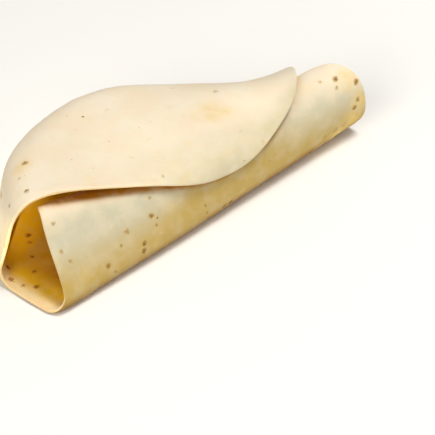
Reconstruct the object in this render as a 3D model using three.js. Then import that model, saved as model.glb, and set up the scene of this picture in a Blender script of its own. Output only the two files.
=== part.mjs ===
// A soft flour tortilla, folded over into a loose roll that lies on its flat underside.
// Millimetres, +Z up. The roll runs along X, its front fold faces -Y, and the free flap lies on top.
// One round sheet of even thickness: the flap, the back bend, the flat underside, the front fold
// and the layer that tucks in under the flap are stretches of the same dough.

import * as THREE from 'three';

// The dough
const THICKNESS = 2.4;
const CREAM = '#f3e4c3';
const ROUGHNESS = 0.85;

// The roll's two ends, measured from the middle of its front fold
const LEFT_END = -99.5;
const RIGHT_END = 99.5;
const END_SQUARENESS = 0.2;
// How far the sheet's tucked left corner is filled out, along the roll and round it
const CORNER_FILL_ALONG = 0.25;
const CORNER_FILL_ROUND = 0.47;
// How far the left rim is cut in between the front fold and that corner, and on which rows of the grid
const NOTCH_DEPTH = 0.05;
const NOTCH_ROWS = { start: 0.38, deepest: 0.58, end: 1 };

// The mesh: steps along the roll and round it, and steps along a section when it is traced
const STEPS_ALONG = 42;
const STEPS_ROUND = 68;
const TRACE_STEPS = 96;

// Stations along the roll, and the sheet's section at each of them.
// Lengths run round the roll from the front fold, where the underside begins, and turns are in degrees.
const STATIONS = [-100, -70, -35, 0, 30, 60, 103];
const SECTION = {
  // How far the sheet reaches round the roll: over the back to the flap's edge, and up the front
  flapReach: [122, 163, 180.5, 184.5, 144.5, 102.5, 70.5],
  tuckReach: [72, 70, 62, 62, 73, 77.5, 120],
  // Where the underside begins, behind the front of the fold, and its flat length
  foldSetback: [6, 7, 8, 9.5, 10.5, 11.5, 14.8],
  underside: [19, 43, 54, 50, 33, 15, 2],
  // The back: a lower bend, a wall, and an upper bend into the flap
  backLowerBend: [17, 30, 33, 32, 28, 23.5, 25],
  backLowerTurn: [113, 104, 100, 96, 95, 95, 96],
  backWall: [17, 7, 2, 0.5, 0, 0, 0],
  backUpperBend: [33, 36, 34.5, 34, 29, 21.5, 22.5],
  backUpperTurn: [52, 74, 80, 80, 70, 50, 64],
  // The flap bends over the tucked layer, and its edge drops down in front of it
  flapBend: [50, 46, 42, 44, 40, 38, 34],
  flapTurn: [-6, 2.5, 8, 8, 34, 65, 70],
  dropBend: [30, 30, 26.5, 29.5, 20, 30, 30],
  dropTurn: [0, 0, 38, 85, 50, 28, 0],
  // The front: the fold itself, the wall above it, the shoulder, and the curl of the tucked end
  foldBend: [14, 19, 23, 26, 27.5, 29, 38.5],
  foldTurn: [127, 120, 112, 104, 97, 92, 90],
  frontWall: [39, 23, 12, 5, 2, 0, 0],
  shoulderBend: [14, 14, 18, 22, 25, 29, 39],
  shoulderTurn: [40, 62, 69, 76, 86, 110, 110],
  curlBend: [30, 30, 30, 30, 30, 24, 20],
  curlTurn: [30, 40, 50, 60, 80, 105, 120],
  // How far the mesh rows lean over, so that one of them follows the front fold
  rowLean: [0.1, -0.15, -0.37, -0.38, -0.22, 0, 0.2],
};

const SLOPE_STEP = 0.05;

// A smooth curve through one value at each station
function alongRoll(values, x) {
  const last = STATIONS.length - 1;
  const slope = (k) => {
    const before = Math.max(k - 1, 0);
    const after = Math.min(k + 1, last);
    return (values[after] - values[before]) / (STATIONS[after] - STATIONS[before]);
  };
  const place = THREE.MathUtils.clamp(x, STATIONS[0], STATIONS[last]);
  let k = 0;
  while (k < last - 1 && place > STATIONS[k + 1]) {
    k += 1;
  }
  const span = STATIONS[k + 1] - STATIONS[k];
  const t = (place - STATIONS[k]) / span;
  const rise = values[k + 1] - values[k];
  const startSlope = slope(k) * span;
  const endSlope = slope(k + 1) * span;
  const cubic = startSlope + endSlope - 2 * rise;
  const square = 3 * rise - 2 * startSlope - endSlope;
  return values[k] + t * (startSlope + t * (square + t * cubic));
}

function sectionAt(x) {
  const section = {};
  for (const name of Object.keys(SECTION)) {
    section[name] = alongRoll(SECTION[name], x);
  }
  return section;
}

// The heading after a run of bends, each [straight before it, its own length, its turn]
function headingAfter(bends, distance) {
  let heading = 0;
  let start = 0;
  for (const [straight, length, turn] of bends) {
    start += straight;
    heading += turn * THREE.MathUtils.smoothstep(distance, start, start + length);
    start += length;
  }
  return THREE.MathUtils.degToRad(heading);
}

function backBends(section) {
  return [
    [section.underside, section.backLowerBend, section.backLowerTurn],
    [section.backWall, section.backUpperBend, section.backUpperTurn],
    [0, section.flapBend, section.flapTurn],
    [0, section.dropBend, section.dropTurn],
  ];
}

function frontBends(section) {
  return [
    [0, section.foldBend, section.foldTurn],
    [section.frontWall, section.shoulderBend, section.shoulderTurn],
    [0, section.curlBend, section.curlTurn],
  ];
}

// The middle of the sheet at the station x, the given length round from the front fold
function middlePoint(x, length) {
  const section = sectionAt(x);
  const bends = length >= 0 ? backBends(section) : frontBends(section);
  const step = length / TRACE_STEPS;
  let y = section.foldSetback;
  let z = THICKNESS / 2;
  for (let i = 0; i < TRACE_STEPS; i += 1) {
    const turned = headingAfter(bends, Math.abs(step) * (i + 0.5));
    const heading = Math.sign(step) * turned;
    y += Math.cos(heading) * step;
    z += Math.sin(heading) * step;
  }
  return new THREE.Vector3(x, y, z);
}

function sheetNormal(x, length) {
  const alongX = middlePoint(x + SLOPE_STEP, length).sub(middlePoint(x - SLOPE_STEP, length));
  const round = middlePoint(x, length + SLOPE_STEP).sub(middlePoint(x, length - SLOPE_STEP));
  return alongX.cross(round).normalize();
}

// How far the left rim is cut in at a place of the grid
function notch(across, up) {
  const { start, deepest, end } = NOTCH_ROWS;
  const goingIn = THREE.MathUtils.smoothstep(-up, start, deepest);
  const comingOut = THREE.MathUtils.smoothstep(-up, deepest, end);
  return NOTCH_DEPTH * Math.max(-across, 0) ** 2 * goingIn * (1 - comingOut);
}

// A square grid drawn out into a round sheet: across and up run from -1 to 1
function placeOnSheet(across, up) {
  const corner = Math.max(-across, 0) ** 2 * Math.max(-up, 0) ** 2;
  const fillAlong = CORNER_FILL_ALONG * corner;
  const fillRound = CORNER_FILL_ROUND * corner;
  const filled = fillAlong + (1 - fillAlong) * Math.sqrt(1 - up * up / 2);
  const roundAcross = across * filled + notch(across, up);
  const roundUp = up * (fillRound + (1 - fillRound) * Math.sqrt(1 - across * across / 2));
  const centre = (LEFT_END + RIGHT_END) / 2;
  const halfLength = (RIGHT_END - LEFT_END) / 2;
  const widened = roundAcross * (1 + END_SQUARENESS - END_SQUARENESS * roundAcross * roundAcross);
  const x = centre + halfLength * widened;
  const section = sectionAt(x);
  const inside = (1 - across * across) * (1 - up * up);
  const leaned = roundUp + section.rowLean * inside;
  const middle = (section.flapReach - section.tuckReach) / 2;
  const half = (section.flapReach + section.tuckReach) / 2;
  return { x, length: middle + half * leaned };
}

// Both faces of the sheet, the inner one first, as rows of points
function sheetPoints() {
  const inner = [];
  const outer = [];
  for (let i = 0; i <= STEPS_ALONG; i += 1) {
    for (let j = 0; j <= STEPS_ROUND; j += 1) {
      const { x, length } = placeOnSheet(2 * i / STEPS_ALONG - 1, 2 * j / STEPS_ROUND - 1);
      const middle = middlePoint(x, length);
      const offset = sheetNormal(x, length).multiplyScalar(THICKNESS / 2);
      inner.push(middle.clone().add(offset));
      outer.push(middle.clone().sub(offset));
    }
  }
  return [...inner, ...outer];
}

// The rim of the grid, once round, with the sheet on its left
function rimIndices() {
  const row = STEPS_ROUND + 1;
  const rim = [];
  for (let i = 0; i < STEPS_ALONG; i += 1) {
    rim.push(i * row);
  }
  for (let j = 0; j < STEPS_ROUND; j += 1) {
    rim.push(STEPS_ALONG * row + j);
  }
  for (let i = STEPS_ALONG; i > 0; i -= 1) {
    rim.push(i * row + STEPS_ROUND);
  }
  for (let j = STEPS_ROUND; j > 0; j -= 1) {
    rim.push(j);
  }
  return rim;
}

function sheetTriangles() {
  const row = STEPS_ROUND + 1;
  const outer = row * (STEPS_ALONG + 1);
  const triangles = [];
  for (let i = 0; i < STEPS_ALONG; i += 1) {
    for (let j = 0; j < STEPS_ROUND; j += 1) {
      const a = i * row + j;
      const b = a + row;
      const c = b + 1;
      const d = a + 1;
      // Each cell is split towards the nearest corner of the grid, where its sides run into one line
      const towardsCorner = (i < STEPS_ALONG / 2) === (j < STEPS_ROUND / 2);
      const cell = towardsCorner ? [[a, b, c], [a, c, d]] : [[a, b, d], [b, c, d]];
      for (const [p, q, r] of cell) {
        triangles.push(p, q, r);
        triangles.push(p + outer, r + outer, q + outer);
      }
    }
  }
  const rim = rimIndices();
  rim.forEach((p, k) => {
    const q = rim[(k + 1) % rim.length];
    triangles.push(q, p, p + outer);
    triangles.push(q, p + outer, q + outer);
  });
  return triangles;
}

function tortillaGeometry() {
  const geometry = new THREE.BufferGeometry().setFromPoints(sheetPoints());
  geometry.setIndex(sheetTriangles());
  // The origin is under the middle of the roll, on the surface that it lies on
  geometry.computeBoundingBox();
  const centre = geometry.boundingBox.getCenter(new THREE.Vector3());
  geometry.translate(-centre.x, -centre.y, 0);
  geometry.computeVertexNormals();
  return geometry;
}

const dough = new THREE.MeshStandardMaterial({ color: CREAM, roughness: ROUGHNESS, metalness: 0 });
const tortilla = new THREE.Mesh(tortillaGeometry(), dough);
tortilla.name = 'tortilla';

const part = new THREE.Group();
part.add(tortilla);

export default part;
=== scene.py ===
"""A soft flour tortilla, folded over into a loose roll that lies on its flat underside."""

import math

import bmesh
import bpy
import numpy as np
from bpy.props import FloatProperty, FloatVectorProperty, PointerProperty
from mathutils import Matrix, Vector, noise
from mathutils.bvhtree import BVHTree


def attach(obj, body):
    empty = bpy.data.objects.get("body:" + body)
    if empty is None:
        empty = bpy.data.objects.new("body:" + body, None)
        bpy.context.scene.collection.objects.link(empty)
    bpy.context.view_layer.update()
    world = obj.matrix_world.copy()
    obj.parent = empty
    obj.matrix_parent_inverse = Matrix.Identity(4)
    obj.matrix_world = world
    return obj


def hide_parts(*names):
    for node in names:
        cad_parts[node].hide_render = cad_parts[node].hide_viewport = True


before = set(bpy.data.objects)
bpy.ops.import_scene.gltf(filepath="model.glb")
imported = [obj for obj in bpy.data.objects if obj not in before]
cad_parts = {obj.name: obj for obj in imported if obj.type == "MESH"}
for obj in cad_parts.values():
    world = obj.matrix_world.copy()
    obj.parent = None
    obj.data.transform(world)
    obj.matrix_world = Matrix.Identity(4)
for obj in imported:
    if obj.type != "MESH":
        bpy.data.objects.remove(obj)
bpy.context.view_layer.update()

bl_info = {
    "name": "Folded Flour Tortilla",
    "version": (1, 0, 0),
    "blender": (4, 5, 0),
    "location": "View3D > Sidebar > Tortilla",
    "description": "Builds a soft flour tortilla that is folded over into a loose roll",
    "category": "Add Mesh",
}

MM = 0.001
CM_PER_MM = 0.1
CM_PER_METRE = 100
NODE = "tortilla"
BODY = "root"

# The roll's two ends, in millimetres from the middle of its front fold
LEFT_END = -99.5
RIGHT_END = 99.5
HALF_LENGTH = (RIGHT_END - LEFT_END) / 2
END_SQUARENESS = 0.2
# How far the sheet's tucked left corner is filled out, along the roll and round it
CORNER_FILL_ALONG = 0.25
CORNER_FILL_ROUND = 0.47
# How far the left rim is cut in between the front fold and that corner, and on which rows of the grid
NOTCH_DEPTH = 0.05
NOTCH_ROWS = (0.38, 0.58, 1.0)
# The middle of the roll's outer box, seen from above
ROLL_CENTRE = (-0.39, 36.51)

# Stations along the roll in millimetres, and the sheet's section at each of them.
# Lengths run round the roll from the front fold, where the underside begins, and turns are in degrees.
STATIONS = np.array((-100.0, -70.0, -35.0, 0.0, 30.0, 60.0, 103.0))
SECTION = {
    # How far the sheet reaches round the roll: over the back to the flap's edge, and up the front
    "flap_reach": (122, 163, 180.5, 184.5, 144.5, 102.5, 70.5),
    "tuck_reach": (72, 70, 62, 62, 73, 77.5, 120),
    # Where the underside begins, behind the front of the fold, and its flat length
    "fold_setback": (6, 7, 8, 9.5, 10.5, 11.5, 14.8),
    "underside": (19, 43, 54, 50, 33, 15, 2),
    # The back: a lower bend, a wall, and an upper bend into the flap
    "back_lower_bend": (17, 30, 33, 32, 28, 23.5, 25),
    "back_lower_turn": (113, 104, 100, 96, 95, 95, 96),
    "back_wall": (17, 7, 2, 0.5, 0, 0, 0),
    "back_upper_bend": (33, 36, 34.5, 34, 29, 21.5, 22.5),
    "back_upper_turn": (52, 74, 80, 80, 70, 50, 64),
    # The flap bends over the tucked layer, and its edge drops down in front of it
    "flap_bend": (50, 46, 42, 44, 40, 38, 34),
    "flap_turn": (-6, 2.5, 8, 8, 34, 65, 70),
    "drop_bend": (30, 30, 26.5, 29.5, 20, 30, 30),
    "drop_turn": (0, 0, 38, 85, 50, 28, 0),
    # The front: the fold itself, the wall above it, the shoulder, and the curl of the tucked end
    "fold_bend": (14, 19, 23, 26, 27.5, 29, 38.5),
    "fold_turn": (127, 120, 112, 104, 97, 92, 90),
    "front_wall": (39, 23, 12, 5, 2, 0, 0),
    "shoulder_bend": (14, 14, 18, 22, 25, 29, 39),
    "shoulder_turn": (40, 62, 69, 76, 86, 110, 110),
    "curl_bend": (30, 30, 30, 30, 30, 24, 20),
    "curl_turn": (30, 40, 50, 60, 80, 105, 120),
    # How far the mesh rows lean over, so that one of them follows the front fold
    "row_lean": (0.1, -0.15, -0.37, -0.38, -0.22, 0, 0.2),
}
# The bends in order, over the back and up the front: the straight before each, its length and its turn
BACK_BENDS = (
    ("underside", "back_lower_bend", "back_lower_turn"),
    ("back_wall", "back_upper_bend", "back_upper_turn"),
    (None, "flap_bend", "flap_turn"),
    (None, "drop_bend", "drop_turn"),
)
FRONT_BENDS = (
    (None, "fold_bend", "fold_turn"),
    ("front_wall", "shoulder_bend", "shoulder_turn"),
    (None, "curl_bend", "curl_turn"),
)

# The mesh: cells along the roll and round it, cuts across the rim, and steps along a traced section
CELLS_ALONG = 160
CELLS_ROUND = 214
RIM_CUTS = 4
TRACE_STEPS = 120
SLOPE_STEP = 0.05
OUTER_FACE = -1
INNER_FACE = 1

# The uneven outline of the dough: waves round the rim, how far each reaches, and where it starts
RIM_WAVES = ((5, 0.0030, 0.4), (9, 0.0024, 1.7), (16, 0.0016, 2.9))
# How fast those waves die away from the rim inwards
RIM_WAVE_POWER = 4
# How far the rim bulges halfway through the dough, as a share, and how wide the stretch is that thins to it
RIM_BULGE = 0.008
RIM_TAPER = 7.0

# Slow waves in the sheet, and fine pits in its two faces: wavelength in millimetres and share of the height
SWAY_WAVES = ((34.0, 1.0), (15.0, 0.4))
PIT_WAVES = ((5.5, 0.6), (3.2, 0.4))
# Which layer of the noise each of them is cut from
SWAY_LAYER = 0.0
PIT_LAYER = 37.0

# Blisters that rose on each face while the dough baked: where round the roll, how wide and how high
BLISTER_SEED = 12
BLISTERS_PER_FACE = 130
BLISTER_ROUND = (-80.0, 190.0)
BLISTER_RADII = (2.5, 7.0)
BLISTER_RISES = (0.15, 1.0)
# How much wider than a toasted speck its blister is, and how high it is for the brownest one
SPECK_SPREAD = 1.5
SPECK_RISE = 0.8

# Where the inner face turns from its pale lip to the deep golden tone of painted warm shade, in millimetres
# from the rim
INSIDE_SHADE_DEPTH = (2.0, 14.0)
# Where the painted shade that dulls the front begins, and where the painted golden shade of the front fold
# begins and ends
FRONT_SHADE_FADE = (-56.0, -40.0)
FOLD_SHADE_FADE_FRONT = (-42.0, -17.0)
FOLD_SHADE_FADE_UNDER = (10.0, 40.0)
# How much farther up the painted golden shade reaches for each millimetre along the roll, and at one place of
# it
FOLD_SHADE_LEAN = 0.05
FOLD_SHADE_RISE = 14.0
FOLD_SHADE_RISE_PLACE = 12.0
FOLD_SHADE_RISE_WIDTH = 55.0
# Where the dark line of painted shade along the bottom of the front fold begins, at the roll's left and
# farther along
UNDER_SHADE_FADE = (-15.0, -8.0)
UNDER_SHADE_START = -60.0
UNDER_SHADE_LEAN = 0.07
# Where painted shade darkens the flap's near edge as it curves down: from the rim inwards, along the roll,
# and round it
EDGE_SHADE_FADE = 15.0
EDGE_SHADE_ALONG = (-60.0, 10.0)
EDGE_SHADE_ROUND = (60.0, 90.0)
# Where the shade inside the front fold begins, from the rim inwards, and where it fades out to the back
NOOK_DEPTH = (12.0, 30.0)
NOOK_FADE = (12.0, 42.0)
# Where the painted shade between two close layers fades out along the roll
CREASE_SHADE_FADE = (30.0, 60.0)

# The cover grade below brings in the painted shade between close layers
# How near another layer must be to cover a place, and how far off the place the search starts, in millimetres
COVER_REACH = 13.0
COVER_START = 0.2
# How far the search spreads, how often it is evened out, and from which cover to which the tone comes in
COVER_SPREAD = 1.2
COVER_SMOOTHING = 4
COVER_RANGE = (0.04, 0.32)

# Browned marks on each face: place along the roll and round it, radius, and how brown the mark is.
# Patches are soft and golden, and specks are small, dark and uneven.
OUTSIDE_PATCHES = (
    (20, 129, 11.0, 0.55), (25, 125, 8.0, 0.45), (13, 137, 8.0, 0.35), (-73, 104, 8.0, 0.60),
    (90, -50, 9.0, 0.60), (94, -38, 10.0, 0.80), (90, -28, 11.0, 0.85), (82, -20, 11.0, 0.90),
    (72, -16, 9.0, 0.60),
)
OUTSIDE_SPECKS = (
    # The flap
    (7, 132, 3.4, 0.20), (7, 141, 3.0, 0.20), (33, 100, 3.4, 0.36), (-26, 177, 2.0, 0.40),
    (30, 140, 2.4, 0.30), (-50, 149, 2.4, 0.24), (-30, 160, 2.4, 0.24), (-15, 127, 3.0, 0.22),
    (-36, 128, 2.6, 0.20), (-15, 156, 2.6, 0.22), (23, 141, 2.4, 0.24), (21, 100, 2.6, 0.24),
    # The left margin
    (-71, 107, 3.0, 0.70), (-84, 97, 2.4, 0.60), (-89, 77, 2.4, 0.54), (-79, 98, 2.2, 0.40),
    (-98, 51, 2.2, 0.60),
    # The front
    (-82, -46, 2.4, 0.52), (-84, -33, 2.4, 0.50), (-82, -27, 2.4, 0.50), (-66, -18, 2.8, 0.74),
    (-63, -14, 2.4, 0.60), (-56, -24, 2.4, 0.56), (-51, -29, 3.0, 0.64), (-46, -17, 2.8, 0.90),
    (-45, -20, 2.6, 0.88), (-35, -39, 2.0, 0.46), (-37, -31, 2.8, 0.66), (-36, -26, 2.0, 0.50),
    (-7, -23, 2.0, 0.56), (-7, -19, 2.0, 0.56), (5, -16.5, 3.2, 0.96), (9, -17, 3.2, 0.94),
    # The narrow end
    (85, -52, 2.6, 0.80), (83, -48, 2.4, 0.60), (78, -53, 2.2, 0.50), (94, -48, 2.6, 0.78),
    (91, -35, 2.8, 0.82), (93, -39, 2.6, 0.62), (85, -27, 5.0, 0.34), (79, -26, 5.0, 0.44),
    (72, -25, 3.6, 0.40),
)
INSIDE_PATCHES = (
    (-80, 24, 9.0, 0.40), (-62, 36, 12.0, 0.45),
)
INSIDE_SPECKS = (
    (-93, 32, 2.4, 0.74), (-96, 25, 2.4, 0.72), (-70, 42, 2.6, 0.84), (-73, 38, 2.4, 0.56),
    (-79, 30, 2.4, 0.70), (-85, 21, 2.4, 0.72), (-91, 13, 2.6, 0.74), (-95, 18, 2.0, 0.56),
)
# Marks scattered over the back: where along the roll, and between which shares of the way up the lower bend
BACK_ALONG = (-88.0, 84.0)
BACK_SHARES = (0.1, 1.25)
BACK_PATCHES = {"count": 4, "radii": (7.0, 12.0), "browns": (0.35, 0.6), "seed": 4}
BACK_SPECKS = {"count": 26, "radii": (2.0, 3.2), "browns": (0.3, 0.85), "seed": 7}
# How far noise pulls the outlines of patches and specks about, in centimetres, and its scale
PATCH_WANDER = (0.5, 1.5)
SPECK_WANDER = (0.24, 3.6)

# The dough's tones, in the order in which baking brings them out
TONES = ("Cream", "Flour", "Golden", "Toast", "Char")
# How heat brings out a tone: from which heat to which, and from which share of the tone to which
HEAT_TONES = {
    "Golden": (0.05, 0.4, 0.0, 0.3),
    "Toast": (0.08, 0.75, 0.0, 1.0),
    "Char": (0.7, 1.1, 0.0, 1.0),
}
# Uneven tones: the noise's scale to the centimetre, its detail, from which noise to which the tone comes in,
# and from which share to which
FLOURY = (0.45, 4.0, 0.35, 0.7, 0.0, 1.0)
FAINT_GOLD = (0.9, 3.0, 0.55, 0.8, 0.0, 0.22)
BROKEN_PATCHES = (2.6, 3.0, 0.3, 0.7, 0.55, 1.1)
BROKEN_SPECKS = (7.0, 3.0, 0.25, 0.75, 0.65, 1.25)
BROKEN_TINTS = (1.2, 4.0, 0.3, 0.7, 0.76, 1.12)
GOLDEN_RIM = (1.3, 2.0, 0.4, 0.8, 0.0, 0.25)
# Flecks: cells to the centimetre, the share of cells left bare, radii in cells, and how brown they are
LARGE_FLECKS = (0.9, 0.62, (0.05, 0.11), 0.75)
SMALL_FLECKS = (1.7, 0.74, (0.06, 0.14), 0.55)
FLECK_SOFTNESS = 0.8
# The fine grain: its scale and detail, the roughness that it brings, and the pores in it
GRAIN = (12.0, 4.0)
GRAIN_ROUGHNESS = (0.3, 0.7, 0.72, 0.9)
PORES_PER_CM = 9.0
PORE_SHARE = 0.6
# How far away in the noise the inner face lies, so that the two faces differ
INSIDE_SHIFT = 37.0

# The soft lights: place and size in metres, and colour
SOFT_LIGHTS = {
    "key": ((0.3, -0.36, 1.5), 0.5, (1.0, 0.99, 0.97)),
    "side": ((-1.05, -0.36, 0.75), 0.8, (1.0, 0.95, 0.86)),
    "card": ((0.45, -0.3, 0.14), 0.3, (1.0, 0.97, 0.9)),
}
LIGHT_TARGET = (0, 0, 0.02)
SKY_COLOUR = (1.0, 0.99, 0.97, 1.0)
# The spot into the open end: where it stands and looks, its radius in metres, its cone and its colour
SPOT_PLACE = (-0.46, -0.36, 0.25)
SPOT_TARGET = (-0.071, 0.021, 0.008)
SPOT_RADIUS = 0.004
SPOT_CONE = math.radians(3.5)
SPOT_COLOUR = (1.0, 0.8, 0.35)
# The floor reaches this far each way, in metres, and lies this far under the roll, in millimetres
FLOOR_REACH = 4.0
FLOOR_GAP = 0.2

# The photograph's square frame, and the front fold's middle in it, in pixels
FRAME_PIXELS = 435
FOLD_PIXEL = (209, 219)
MM_PER_PIXEL = 0.472
SENSOR_MM = 36.0


def from_display(red, green, blue):
    """A colour as a screen shows it, from 0 to 255, in the linear values that shaders use."""
    shares = (channel / 255 for channel in (red, green, blue))
    return tuple(c / 12.92 if c <= 0.04045 else ((c + 0.055) / 1.055) ** 2.4 for c in shares)


class DoughSettings(bpy.types.PropertyGroup):
    """Sizes and colours of the dough, and the colours of the shade painted on it."""

    thickness: FloatProperty(
        name="Thickness", description="Thickness of the sheet",
        default=2.4 * MM, unit="LENGTH", precision=4)
    rim_thickness: FloatProperty(
        name="Rim Thickness", description="Thickness at the rim",
        default=1.6 * MM, unit="LENGTH", precision=4)
    sway_height: FloatProperty(
        name="Sway", description="Height of the slow waves",
        default=0.35 * MM, unit="LENGTH", precision=5)
    blister_height: FloatProperty(
        name="Blisters", description="Height of the blisters",
        default=0.34 * MM, unit="LENGTH", precision=5)
    pit_depth: FloatProperty(
        name="Pits", description="Depth of the fine pits",
        default=0.07 * MM, unit="LENGTH", precision=5)
    cream: FloatVectorProperty(
        name="Cream", description="The dough itself",
        subtype="COLOR", default=from_display(246, 228, 199))
    flour: FloatVectorProperty(
        name="Flour", description="Paler, floury patches",
        subtype="COLOR", default=from_display(249, 235, 211))
    golden: FloatVectorProperty(
        name="Golden", description="Round a toasted spot",
        subtype="COLOR", default=from_display(234, 203, 122))
    toast: FloatVectorProperty(
        name="Toast", description="A toasted spot",
        subtype="COLOR", default=from_display(152, 116, 58))
    char: FloatVectorProperty(
        name="Char", description="The darkest spots",
        subtype="COLOR", default=from_display(100, 74, 34))
    # Painted shade: the flap darker along its near edge, where it curves down
    edge: FloatVectorProperty(
        name="Edge", description="The flap along its near edge",
        subtype="COLOR", default=from_display(218, 207, 174))
    # Painted shade: the front darker, as it faces away from the light above
    front: FloatVectorProperty(
        name="Front", description="The outer face up the front",
        subtype="COLOR", default=from_display(208, 201, 174))
    # Painted shade: warm golden shade over the front fold
    fold: FloatVectorProperty(
        name="Fold", description="The outer face at the front fold",
        subtype="COLOR", default=from_display(195, 167, 96))
    # Painted shade: the dark line where the front fold meets the floor
    under: FloatVectorProperty(
        name="Under", description="The bottom of the front fold",
        subtype="COLOR", default=from_display(148, 104, 30))
    # Painted shade in the crevices where layers lie close together
    painted_crease_shade: FloatVectorProperty(
        name="Crease", description="Both faces where layers lie close together",
        subtype="COLOR", default=from_display(176, 116, 8))
    lip: FloatVectorProperty(
        name="Lip", description="The inner face near its rim",
        subtype="COLOR", default=from_display(246, 219, 166))
    # Painted warm shade deep inside the roll
    inside: FloatVectorProperty(
        name="Inside", description="The inner face, deep in",
        subtype="COLOR", default=from_display(252, 202, 36))
    # Painted shadow inside the roll, behind the front fold
    painted_nook_shadow: FloatVectorProperty(
        name="Nook", description="The inner face behind the front fold",
        subtype="COLOR", default=from_display(186, 119, 8))
    # Toasted spots of the inner face, in warmer colours that paint in the shade inside the roll
    inside_golden_in_shade: FloatVectorProperty(
        name="Inside Golden", description="Round a toasted spot of the inner face",
        subtype="COLOR", default=from_display(228, 166, 56))
    inside_toast_in_shade: FloatVectorProperty(
        name="Inside Toast", description="A toasted spot of the inner face",
        subtype="COLOR", default=from_display(168, 104, 20))
    inside_char_in_shade: FloatVectorProperty(
        name="Inside Char", description="The darkest spots of the inner face",
        subtype="COLOR", default=from_display(116, 66, 10))


class StageSettings(bpy.types.PropertyGroup):
    """The floor, the light and the camera."""

    floor: FloatVectorProperty(
        name="Floor", description="Colour of the floor",
        subtype="COLOR", default=from_display(255, 254, 251))
    azimuth: FloatProperty(
        name="Azimuth", description="Where the camera stands",
        default=math.radians(-45), subtype="ANGLE")
    elevation: FloatProperty(
        name="Elevation", description="How far the camera looks down",
        default=math.radians(40), subtype="ANGLE")
    distance: FloatProperty(
        name="Distance", description="From the camera to the roll",
        default=1.0, unit="LENGTH")
    key_power: FloatProperty(
        name="Key Light", description="Power of the large light above",
        default=14.2, unit="POWER")
    side_power: FloatProperty(
        name="Side Light", description="Power of the wide light on the left",
        default=9.0, unit="POWER")
    card_power: FloatProperty(
        name="Right Card", description="Power of the small card on the right",
        default=0.5, unit="POWER")
    spot_power: FloatProperty(
        name="Mouth Spot", description="Power of the small spot into the open end",
        default=13.5, unit="POWER")
    sky: FloatProperty(
        name="Sky", description="Strength of the light from all round",
        default=0.2)


def along_roll(name, x):
    """A smooth curve through the section's values at the stations."""
    values = np.array(SECTION[name], float)
    last = len(STATIONS) - 1
    numbers = np.arange(last + 1)
    before = np.maximum(numbers - 1, 0)
    after = np.minimum(numbers + 1, last)
    slopes = (values[after] - values[before]) / (STATIONS[after] - STATIONS[before])
    place = np.clip(x, STATIONS[0], STATIONS[last])
    k = np.clip(np.searchsorted(STATIONS, place) - 1, 0, last - 1)
    span = STATIONS[k + 1] - STATIONS[k]
    t = (place - STATIONS[k]) / span
    rise = values[k + 1] - values[k]
    start = slopes[k] * span
    end = slopes[k + 1] * span
    return values[k] + t * (start + t * (3 * rise - 2 * start - end + t * (start + end - 2 * rise)))


def smooth_step(low, high, value):
    """From 0 at low to 1 at high, level at both ends."""
    t = np.clip((value - low) / (high - low), 0, 1)
    return t * t * (3 - 2 * t)


def turn_after(travelled, bends, section):
    """How far the sheet has turned after a length, in radians."""
    turned = np.zeros_like(travelled)
    start = np.zeros_like(travelled)
    for straight, bend, turn in bends:
        if straight:
            start = start + section[straight]
        end = start + section[bend]
        turned += section[turn] * smooth_step(start, end, travelled)
        start = end
    return np.radians(turned)


def middle_points(x, length, thickness):
    """The middle of the sheet, in millimetres, at places along the roll and lengths round it."""
    section = {name: along_roll(name, x) for name in SECTION}
    step = length / TRACE_STEPS
    y = section["fold_setback"].copy()
    z = np.full_like(y, thickness / 2)
    for i in range(TRACE_STEPS):
        travelled = np.abs(step) * (i + 0.5)
        over_back = turn_after(travelled, BACK_BENDS, section)
        up_front = turn_after(travelled, FRONT_BENDS, section)
        turned = np.where(length >= 0, over_back, -up_front)
        y += np.cos(turned) * step
        z += np.sin(turned) * step
    return np.stack((x, y, z), axis=-1)


def sheet_normals(x, length, thickness):
    """The direction from the outer face to the inner one."""
    along = (middle_points(x + SLOPE_STEP, length, thickness)
             - middle_points(x - SLOPE_STEP, length, thickness))
    round_roll = (middle_points(x, length + SLOPE_STEP, thickness)
                  - middle_points(x, length - SLOPE_STEP, thickness))
    normals = np.cross(along, round_roll)
    return normals / np.linalg.norm(normals, axis=-1, keepdims=True)


def place_on_sheet(across, up):
    """A square drawn out into the round sheet: across and up run from -1 to 1."""
    corner = np.maximum(-across, 0) ** 2 * np.maximum(-up, 0) ** 2
    fill_along = CORNER_FILL_ALONG * corner
    fill_round = CORNER_FILL_ROUND * corner
    round_across = across * (fill_along + (1 - fill_along) * np.sqrt(1 - up * up / 2))
    start, deepest, end = NOTCH_ROWS
    notch_rows = smooth_step(start, deepest, -up) * (1 - smooth_step(deepest, end, -up))
    round_across = round_across + NOTCH_DEPTH * np.maximum(-across, 0) ** 2 * notch_rows
    round_up = up * (fill_round + (1 - fill_round) * np.sqrt(1 - across * across / 2))

    angle = np.arctan2(round_up, round_across)
    wave = sum(reach * np.sin(count * angle + offset) for count, reach, offset in RIM_WAVES)
    uneven = 1 + wave * np.maximum(np.abs(across), np.abs(up)) ** RIM_WAVE_POWER
    round_across = round_across * uneven
    round_up = round_up * uneven

    widened = round_across * (1 + END_SQUARENESS - END_SQUARENESS * round_across * round_across)
    x = (LEFT_END + RIGHT_END) / 2 + HALF_LENGTH * widened
    leaned = round_up + along_roll("row_lean", x) * (1 - across * across) * (1 - up * up)
    flap_reach = along_roll("flap_reach", x)
    tuck_reach = along_roll("tuck_reach", x)
    return x, (flap_reach - tuck_reach) / 2 + (flap_reach + tuck_reach) / 2 * leaned


def wavy(x, length, waves, layer):
    """Slow noise over the sheet, from about -1 to 1."""
    heights = np.zeros_like(x)
    for wavelength, share in waves:
        for i, (along, round_roll) in enumerate(zip(x / wavelength, length / wavelength)):
            heights[i] += share * noise.noise(Vector((along, round_roll, layer)))
    return heights


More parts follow.
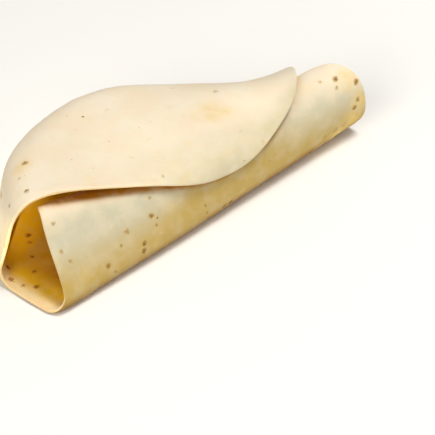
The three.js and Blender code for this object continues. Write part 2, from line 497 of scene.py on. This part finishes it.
def back_marks(count, radii, browns, seed):
    """Marks scattered over the back of the roll, where the sheet bends up to the flap."""
    draw = np.random.default_rng(seed)
    x = draw.uniform(*BACK_ALONG, count)
    way_up = along_roll("back_lower_bend", x) + along_roll("back_wall", x)
    length = along_roll("underside", x) + way_up * draw.uniform(*BACK_SHARES, count)
    return tuple(zip(x, length, draw.uniform(*radii, count), draw.uniform(*browns, count)))


def outer_marks():
    """The patches and the specks of the outer face, with those on its back."""
    return OUTSIDE_PATCHES + back_marks(**BACK_PATCHES), OUTSIDE_SPECKS + back_marks(**BACK_SPECKS)


def blister_heights(x, length, specks, seed):
    """Low round blisters: some at the toasted specks, the rest scattered over one face."""
    draw = np.random.default_rng(seed)
    places_x = draw.uniform(LEFT_END, RIGHT_END, BLISTERS_PER_FACE)
    places_length = draw.uniform(*BLISTER_ROUND, BLISTERS_PER_FACE)
    radii = draw.uniform(*BLISTER_RADII, BLISTERS_PER_FACE)
    rises = draw.uniform(*BLISTER_RISES, BLISTERS_PER_FACE)
    blisters = list(zip(places_x, places_length, radii, rises))
    for at_x, at_length, radius, brown in specks:
        blisters.append((at_x, at_length, SPECK_SPREAD * radius, SPECK_RISE * brown))
    heights = np.zeros_like(x)
    for at_x, at_length, radius, rise in blisters:
        away = np.hypot(x - at_x, length - at_length) / radius
        heights = np.maximum(heights, rise * (1 - smooth_step(0, 1, away)))
    return heights


def sheet_slab():
    """A flat slab: X and Y are its across and up, and Z is the share of the way through the dough."""
    slab = bmesh.new()
    bmesh.ops.create_grid(slab, x_segments=CELLS_ALONG, y_segments=CELLS_ROUND, size=1.0)
    raised = bmesh.ops.extrude_face_region(slab, geom=slab.faces[:], use_keep_orig=True)
    top = [item for item in raised["geom"] if isinstance(item, bmesh.types.BMVert)]
    bmesh.ops.translate(slab, verts=top, vec=(0, 0, 1))
    walls = [edge for edge in slab.edges if edge.verts[0].co.z != edge.verts[1].co.z]
    bmesh.ops.subdivide_edges(slab, edges=walls, cuts=RIM_CUTS, use_grid_fill=True)
    bmesh.ops.recalc_face_normals(slab, faces=slab.faces[:])
    slab.verts.index_update()
    return slab


def fold_sheet(slab, settings):
    """Moves every point of the slab to its place in the folded sheet, and gives the sheet places back."""
    thickness = settings.thickness / MM
    across, up, through = np.array([vert.co for vert in slab.verts]).T
    half_turn = (through - 0.5) * math.pi
    side = np.sin(half_turn)
    bulge = 1 + RIM_BULGE * np.cos(half_turn)
    x, length = place_on_sheet(across * bulge, up * bulge)
    middle = middle_points(x, length, thickness)
    normals = sheet_normals(x, length, thickness)

    rim = (1 - np.maximum(np.abs(across), np.abs(up))) * HALF_LENGTH
    inward = smooth_step(0, RIM_TAPER, rim)
    half = (settings.rim_thickness + (settings.thickness - settings.rim_thickness) * inward) / MM / 2
    sway = wavy(x, length, SWAY_WAVES, SWAY_LAYER) * settings.sway_height / MM
    pits = wavy(x, length, PIT_WAVES, PIT_LAYER) * settings.pit_depth / MM
    _, outside_specks = outer_marks()
    outside = blister_heights(x, length, outside_specks, BLISTER_SEED)
    inside = blister_heights(x, length, INSIDE_SPECKS, BLISTER_SEED + 1)
    blisters = np.where(side < 0, outside, inside) * settings.blister_height / MM
    pushed = sway + side * (half + blisters + pits)
    points = middle + normals * pushed[:, None] - np.array((*ROLL_CENTRE, 0))
    # The underside lies flat on what carries it
    points[:, 2] = np.maximum(points[:, 2], 0)
    for vert, point in zip(slab.verts, points):
        vert.co = Vector(point) * MM
    return x, length, through, rim


def cover_grades(slab):
    """How much of what each point faces is another layer of the sheet close by, evened out."""
    slab.normal_update()
    tree = BVHTree.FromBMesh(slab)
    reach = COVER_REACH * MM
    count = len(slab.verts)
    grades = np.zeros(count)
    for number, vert in enumerate(slab.verts):
        side = vert.normal.orthogonal().normalized() * COVER_SPREAD
        other = vert.normal.cross(side)
        start = vert.co + vert.normal * COVER_START * MM
        leans = (Vector(), side, -side, other, -other)
        for lean in leans:
            hit = tree.ray_cast(start, (vert.normal + lean).normalized(), reach)[3]
            if hit is not None:
                grades[number] += (1 - hit / reach) / len(leans)
    first, second = np.array([[vert.index for vert in edge.verts] for edge in slab.edges]).T
    neighbours = np.bincount(first, minlength=count) + np.bincount(second, minlength=count)
    for _ in range(COVER_SMOOTHING):
        near = np.bincount(first, grades[second], count) + np.bincount(second, grades[first], count)
        grades = (grades + near / neighbours) / 2
    return grades


def colour_grades(x, length, rim, cover):
    """How strong each tone of the dough, and each painted shade, is at every point, from 0 to 1."""
    before_back = 1 - smooth_step(*FOLD_SHADE_FADE_UNDER, length)
    risen = 1 - smooth_step(0, FOLD_SHADE_RISE_WIDTH, np.abs(x - FOLD_SHADE_RISE_PLACE))
    fold_length = length + FOLD_SHADE_LEAN * x + FOLD_SHADE_RISE * risen
    under_length = length + UNDER_SHADE_LEAN * (x - UNDER_SHADE_START)
    on_flap = smooth_step(*EDGE_SHADE_ROUND, length) * smooth_step(*EDGE_SHADE_ALONG, x)
    # Every grade but the rim is a mask of painted shade
    return {
        "rim": smooth_step(0, RIM_TAPER, rim),
        "depth": smooth_step(*INSIDE_SHADE_DEPTH, rim),
        "painted_nook_shadow": smooth_step(*NOOK_DEPTH, rim) * (1 - smooth_step(*NOOK_FADE, length)),
        "front": smooth_step(*FRONT_SHADE_FADE, length) * before_back,
        "fold": smooth_step(*FOLD_SHADE_FADE_FRONT, fold_length) * before_back,
        "under": smooth_step(*UNDER_SHADE_FADE, under_length) * before_back,
        "edge": (1 - smooth_step(0, EDGE_SHADE_FADE, rim)) * on_flap,
        "cover": smooth_step(*COVER_RANGE, cover) * (1 - smooth_step(*CREASE_SHADE_FADE, x)),
    }


def sheet_object(context, settings):
    """The folded sheet as an object with its colour grades and materials."""
    slab = sheet_slab()
    x, length, through, rim = fold_sheet(slab, settings)
    for face in slab.faces:
        face.smooth = True
        face.material_index = 1 if through[[vert.index for vert in face.verts]].mean() > 0.5 else 0
    grades = colour_grades(x, length, rim, cover_grades(slab))
    mesh = bpy.data.meshes.new(NODE)
    slab.to_mesh(mesh)
    slab.free()
    for name, grade in grades.items():
        attribute = mesh.attributes.new(name, "FLOAT", "POINT")
        attribute.data.foreach_set("value", grade.astype(np.float32))
    mesh.materials.append(outside_dough(settings))
    mesh.materials.append(inside_dough(settings))
    piece = bpy.data.objects.new("folded_tortilla", mesh)
    context.collection.objects.link(piece)
    return piece


def add_node(tree, kind, inputs=(), **settings):
    """A shader node with its settings made, and its inputs set to values or linked to other nodes."""
    node = tree.nodes.new(kind)
    for name, value in settings.items():
        setattr(node, name, value)
    for name, value in dict(inputs).items():
        socket = node.inputs[name]
        if isinstance(value, bpy.types.NodeSocket):
            tree.links.new(value, socket)
        else:
            socket.default_value = value
    return node


def math_node(tree, operation, first, second):
    """The output of a Math node."""
    return add_node(tree, "ShaderNodeMath", {0: first, 1: second}, operation=operation).outputs[0]


def vector_node(tree, operation, inputs):
    """A Vector Math node."""
    return add_node(tree, "ShaderNodeVectorMath", inputs, operation=operation)


def ramp(tree, value, low, high, to_low=0.0, to_high=1.0):
    """The output of a smooth Map Range node."""
    inputs = {"Value": value, "From Min": low, "From Max": high, "To Min": to_low, "To Max": to_high}
    return add_node(tree, "ShaderNodeMapRange", inputs, interpolation_type="SMOOTHSTEP").outputs[0]


def mix_colours(tree, share, first, second):
    """The output of a Mix node between two colours."""
    inputs = {0: share, 6: first, 7: second}
    return add_node(tree, "ShaderNodeMix", inputs, data_type="RGBA").outputs[2]


def noise_node(tree, place, scale, detail):
    """A Noise Texture, about 0.5 on average."""
    inputs = {"Vector": place, "Scale": scale, "Detail": detail}
    return add_node(tree, "ShaderNodeTexNoise", inputs)


def uneven(tree, place, scale, detail, *limits):
    """How strong an uneven tone is: noise between limits."""
    return ramp(tree, noise_node(tree, place, scale, detail).outputs["Fac"], *limits)


def new_group(name, inputs, outputs):
    """An empty shader node group with named sockets, and its input and output nodes."""
    group = bpy.data.node_groups.new(name, "ShaderNodeTree")
    for socket, kind in inputs:
        group.interface.new_socket(socket, in_out="INPUT", socket_type=kind)
    for socket, kind in outputs:
        group.interface.new_socket(socket, in_out="OUTPUT", socket_type=kind)
    return group, group.nodes.new("NodeGroupInput"), group.nodes.new("NodeGroupOutput")


def flecks(group, place, cells_per_cm, least_luck, radii, brown):
    """Small brown flecks in some of the cells of a Voronoi pattern."""
    cells = add_node(group, "ShaderNodeTexVoronoi", {"Vector": place, "Scale": cells_per_cm})
    luck = add_node(group, "ShaderNodeSeparateColor", {0: cells.outputs["Color"]})
    chosen = math_node(group, "GREATER_THAN", luck.outputs[0], least_luck)
    radius = ramp(group, luck.outputs[1], 0.0, 1.0, *radii)
    away = math_node(group, "DIVIDE", cells.outputs["Distance"], radius)
    near = math_node(group, "SUBTRACT", 1.0, away)
    return math_node(group, "MULTIPLY", chosen, ramp(group, near, 0.0, FLECK_SOFTNESS, 0.0, brown))


def dough_surface():
    """The node group that both faces of the dough share: colour, roughness and fine relief."""
    sockets = [("Place", "NodeSocketVector")]
    sockets += [(name, "NodeSocketFloat") for name in ("Warmth", "Heat", "Rim")]
    sockets += [(name, "NodeSocketColor") for name in TONES]
    results = (("Color", "NodeSocketColor"), ("Roughness", "NodeSocketFloat"), ("Height", "NodeSocketFloat"))
    group, given, result = new_group("dough_surface", sockets, results)
    place = given.outputs["Place"]
    golden = given.outputs["Golden"]

    # Paler floury patches, golden ones, and a rim that is golden in places
    floury = uneven(group, place, *FLOURY)
    colour = mix_colours(group, floury, given.outputs["Cream"], given.outputs["Flour"])
    broken = math_node(group, "MULTIPLY", given.outputs["Warmth"], uneven(group, place, *BROKEN_PATCHES))
    warm = math_node(group, "MAXIMUM", uneven(group, place, *FAINT_GOLD), broken)
    colour = mix_colours(group, warm, colour, golden)
    at_rim = ramp(group, given.outputs["Rim"], 0.0, 1.0, 1.0, 0.0)
    golden_rim = math_node(group, "MULTIPLY", at_rim, uneven(group, place, *GOLDEN_RIM))
    colour = mix_colours(group, golden_rim, colour, golden)

    # Toasted specks and flecks, broken up by fine noise
    large = flecks(group, place, *LARGE_FLECKS)
    small = flecks(group, place, *SMALL_FLECKS)
    heat = math_node(group, "MAXIMUM", given.outputs["Heat"], math_node(group, "MAXIMUM", large, small))
    heat = math_node(group, "MULTIPLY", heat, uneven(group, place, *BROKEN_SPECKS))
    for tone, limits in HEAT_TONES.items():
        colour = mix_colours(group, ramp(group, heat, *limits), colour, given.outputs[tone])

    # A matt face with fine pores
    grain = noise_node(group, place, *GRAIN).outputs["Fac"]
    pores = add_node(group, "ShaderNodeTexVoronoi", {"Vector": place, "Scale": PORES_PER_CM})
    pitted = math_node(group, "MULTIPLY", pores.outputs["Distance"], PORE_SHARE)
    height = math_node(group, "ADD", grain, pitted)
    rough = ramp(group, grain, *GRAIN_ROUGHNESS)
    for name, output in (("Color", colour), ("Roughness", rough), ("Height", height)):
        group.links.new(output, result.inputs[name])
    return group


def browned(tree, place, marks, wander):
    """How brown the marks make a place, with their outlines pulled about by noise."""
    reach, scale = wander
    pulled = noise_node(tree, place, scale, 2.0).outputs["Color"]
    centred = vector_node(tree, "SUBTRACT", {0: pulled, 1: (0.5, 0.5, 0.5)}).outputs[0]
    shift = vector_node(tree, "SCALE", {0: centred, "Scale": reach}).outputs[0]
    moved = vector_node(tree, "ADD", {0: place, 1: shift}).outputs[0]
    brown = 0.0
    for centre, radius, strength in marks:
        away = vector_node(tree, "DISTANCE", {0: moved, 1: centre}).outputs["Value"]
        brown = math_node(tree, "MAXIMUM", brown, ramp(tree, away, 0.0, radius, strength, 0.0))
    return brown


def dough_material(name, colours, painted_shades, marks, shift):
    """One face of the dough: soft, matt and browned in places, with colours of painted shade that attributes
    bring in.
    """
    material = bpy.data.materials.new(name)
    material.use_nodes = True
    tree = material.node_tree
    tree.nodes.clear()
    metres = add_node(tree, "ShaderNodeTexCoord").outputs["Object"]
    to_centimetres = {"Vector": metres, "Scale": (CM_PER_METRE, CM_PER_METRE, CM_PER_METRE)}
    place = add_node(tree, "ShaderNodeMapping", to_centimetres).outputs[0]
    moved = add_node(tree, "ShaderNodeMapping", {"Vector": place, "Location": (0, 0, shift)}).outputs[0]
    patches, specks = marks
    inputs = {
        "Place": moved,
        "Warmth": browned(tree, place, patches, PATCH_WANDER),
        "Heat": browned(tree, place, specks, SPECK_WANDER),
        "Rim": add_node(tree, "ShaderNodeAttribute", attribute_name="rim").outputs["Fac"],
    }
    for tone, colour in zip(TONES, colours):
        inputs[tone] = (*colour, 1)
    # Painted shade, broken up by noise and laid over the dough's own tones
    broken = uneven(tree, moved, *BROKEN_TINTS)
    for attribute, tint in painted_shades.items():
        grade = add_node(tree, "ShaderNodeAttribute", attribute_name=attribute).outputs["Fac"]
        share = math_node(tree, "MULTIPLY", grade, broken)
        for tone in ("Cream", "Flour"):
            inputs[tone] = mix_colours(tree, share, inputs[tone], (*tint, 1))
    group = bpy.data.node_groups.get("dough_surface") or dough_surface()
    surface = add_node(tree, "ShaderNodeGroup", inputs, node_tree=group)
    relief = {"Height": surface.outputs["Height"], "Strength": 0.35, "Distance": 0.25 * MM}
    shader = add_node(tree, "ShaderNodeBsdfPrincipled", {
        "Base Color": surface.outputs["Color"],
        "Roughness": surface.outputs["Roughness"],
        "Normal": add_node(tree, "ShaderNodeBump", relief).outputs[0],
        "Specular IOR Level": 0.3,
        "Subsurface Weight": 0.3,
        "Subsurface Radius": (1.0, 0.6, 0.25),
        "Subsurface Scale": 1.2 * MM,
    })
    add_node(tree, "ShaderNodeOutputMaterial", {"Surface": shader.outputs[0]})
    return material


def on_face(marks, side, settings):
    """Marks with their centres on one face of the folded sheet, all in centimetres."""
    x, length, radius, brown = np.array(marks, float).T
    thickness = settings.thickness / MM
    points = middle_points(x, length, thickness) + side * thickness / 2 * sheet_normals(x, length, thickness)
    points = (points - np.array((*ROLL_CENTRE, 0))) * CM_PER_MM
    return list(zip(points.tolist(), (radius * CM_PER_MM).tolist(), brown.tolist()))


def outside_dough(settings):
    """The outer face: cream, with painted shade that makes it duller up the front and on the flap's near
    edge, golden to brown along the front fold, and brown between close layers.
    """
    colours = (settings.cream, settings.flour, settings.golden, settings.toast, settings.char)
    painted_shades = {
        "edge": settings.edge,
        "front": settings.front,
        "fold": settings.fold,
        "under": settings.under,
        "cover": settings.painted_crease_shade,
    }
    marks = [on_face(group, OUTER_FACE, settings) for group in outer_marks()]
    return dough_material("dough_outside", colours, painted_shades, marks, 0.0)


def inside_dough(settings):
    """The inner face: a pale lip, with painted warm shade that makes it deep golden farther in, and a painted
    brown shadow in the hollow behind the front fold.
    """
    toasted = (settings.inside_golden_in_shade, settings.inside_toast_in_shade, settings.inside_char_in_shade)
    colours = (settings.lip, settings.lip, *toasted)
    painted_shades = {"depth": settings.inside, "painted_nook_shadow": settings.painted_nook_shadow, "cover": settings.painted_crease_shade}
    marks = [on_face(group, INNER_FACE, settings) for group in (INSIDE_PATCHES, INSIDE_SPECKS)]
    return dough_material("dough_inside", colours, painted_shades, marks, INSIDE_SHIFT)


def floor_material(colour):
    """A plain pale floor."""
    material = bpy.data.materials.new("pale_floor")
    material.use_nodes = True
    shader = material.node_tree.nodes["Principled BSDF"]
    shader.inputs["Base Color"].default_value = (*colour, 1)
    shader.inputs["Roughness"].default_value = 0.9
    shader.inputs["Specular IOR Level"].default_value = 0.1
    return material


def floor_object(context, colour):
    """A wide floor just under the roll."""
    ground = bmesh.new()
    bmesh.ops.create_grid(ground, x_segments=1, y_segments=1, size=FLOOR_REACH)
    bmesh.ops.translate(ground, verts=ground.verts[:], vec=(0, 0, -FLOOR_GAP * MM))
    mesh = bpy.data.meshes.new("floor")
    ground.to_mesh(mesh)
    ground.free()
    mesh.materials.append(floor_material(colour))
    floor = bpy.data.objects.new("floor", mesh)
    context.collection.objects.link(floor)
    return floor


def aim(thing, target):
    """Turns a lamp or a camera to look at a point."""
    thing.rotation_euler = (Vector(target) - thing.location).to_track_quat("-Z", "Y").to_euler()


def stand_lamp(context, light, place, target):
    """Stands a light in its place, out of the camera's sight, and turns it to its target."""
    lamp = bpy.data.objects.new(light.name, light)
    lamp.location = place
    lamp.visible_camera = False
    aim(lamp, target)
    context.collection.objects.link(lamp)


def soft_light(context, name, power):
    """A square area light that looks at the roll."""
    place, size, colour = SOFT_LIGHTS[name]
    light = bpy.data.lights.new(name, "AREA")
    light.size = size
    light.energy = power
    light.color = colour
    stand_lamp(context, light, place, LIGHT_TARGET)


def mouth_spot(context, power):
    """A narrow warm spot that shines into the roll's open end."""
    light = bpy.data.lights.new("mouth_spot", "SPOT")
    light.energy = power
    light.color = SPOT_COLOUR
    light.spot_size = SPOT_CONE
    light.spot_blend = 1.0
    light.shadow_soft_size = SPOT_RADIUS
    stand_lamp(context, light, SPOT_PLACE, SPOT_TARGET)


def studio_sky(context, strength):
    """Faint light from all round."""
    world = bpy.data.worlds.new("studio")
    world.use_nodes = True
    background = world.node_tree.nodes["Background"]
    background.inputs["Color"].default_value = SKY_COLOUR
    background.inputs["Strength"].default_value = strength
    context.scene.world = world
    context.scene.view_settings.view_transform = "Standard"


def photo_camera(context, settings):
    """The camera, so that the middle of the front fold falls on its pixel."""
    turn, tilt = settings.azimuth, settings.elevation
    back = Vector((math.sin(turn) * math.cos(tilt), -math.cos(turn) * math.cos(tilt), math.sin(tilt)))
    right = Vector((math.cos(turn), math.sin(turn), 0))
    above = back.cross(right)
    pixel = MM_PER_PIXEL * MM
    centre = FRAME_PIXELS / 2
    fold_middle = Vector((-ROLL_CENTRE[0], -ROLL_CENTRE[1], 0)) * MM
    sideways = right * (centre - FOLD_PIXEL[0]) * pixel
    upwards = above * (FOLD_PIXEL[1] - centre) * pixel
    target = fold_middle + sideways + upwards
    data = bpy.data.cameras.new("photo_camera")
    data.sensor_width = SENSOR_MM
    data.lens = SENSOR_MM * settings.distance / (FRAME_PIXELS * pixel)
    camera = bpy.data.objects.new("photo_camera", data)
    camera.location = target + back * settings.distance
    aim(camera, target)
    context.collection.objects.link(camera)
    context.scene.camera = camera


class TORTILLA_OT_fold_sheet(bpy.types.Operator):
    """Makes the sheet of dough, folded over into a loose roll"""

    bl_idname = "tortilla.fold_sheet"
    bl_label = "Fold the Sheet"

    def execute(self, context):
        piece = sheet_object(context, context.scene.tortilla_dough)
        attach(piece, BODY)
        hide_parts(NODE)
        return {"FINISHED"}


class TORTILLA_OT_set_stage(bpy.types.Operator):
    """Makes the floor, the soft light and the camera"""

    bl_idname = "tortilla.set_stage"
    bl_label = "Set the Stage"

    def execute(self, context):
        settings = context.scene.tortilla_stage
        floor = floor_object(context, settings.floor)
        soft_light(context, "key", settings.key_power)
        soft_light(context, "side", settings.side_power)
        soft_light(context, "card", settings.card_power)
        mouth_spot(context, settings.spot_power)
        studio_sky(context, settings.sky)
        photo_camera(context, settings)
        return {"FINISHED"}


class TORTILLA_PT_sidebar(bpy.types.Panel):
    """Lists the tools and their settings"""

    bl_idname = "TORTILLA_PT_sidebar"
    bl_label = "Flour Tortilla"
    bl_space_type = "VIEW_3D"
    bl_region_type = "UI"
    bl_category = "Tortilla"

    def draw(self, context):
        for settings, tool in (
                (context.scene.tortilla_dough, TORTILLA_OT_fold_sheet),
                (context.scene.tortilla_stage, TORTILLA_OT_set_stage)):
            box = self.layout.box()
            for name in settings.__annotations__:
                box.prop(settings, name)
            box.operator(tool.bl_idname)


CLASSES = (
    DoughSettings,
    StageSettings,
    TORTILLA_OT_fold_sheet,
    TORTILLA_OT_set_stage,
    TORTILLA_PT_sidebar,
)


def register():
    for kind in CLASSES:
        bpy.utils.register_class(kind)
    bpy.types.Scene.tortilla_dough = PointerProperty(type=DoughSettings)
    bpy.types.Scene.tortilla_stage = PointerProperty(type=StageSettings)


def unregister():
    del bpy.types.Scene.tortilla_stage
    del bpy.types.Scene.tortilla_dough
    for kind in reversed(CLASSES):
        bpy.utils.unregister_class(kind)


def main():
    register()
    bpy.ops.tortilla.fold_sheet()
    bpy.ops.tortilla.set_stage()


if __name__ == "__main__":
    main()
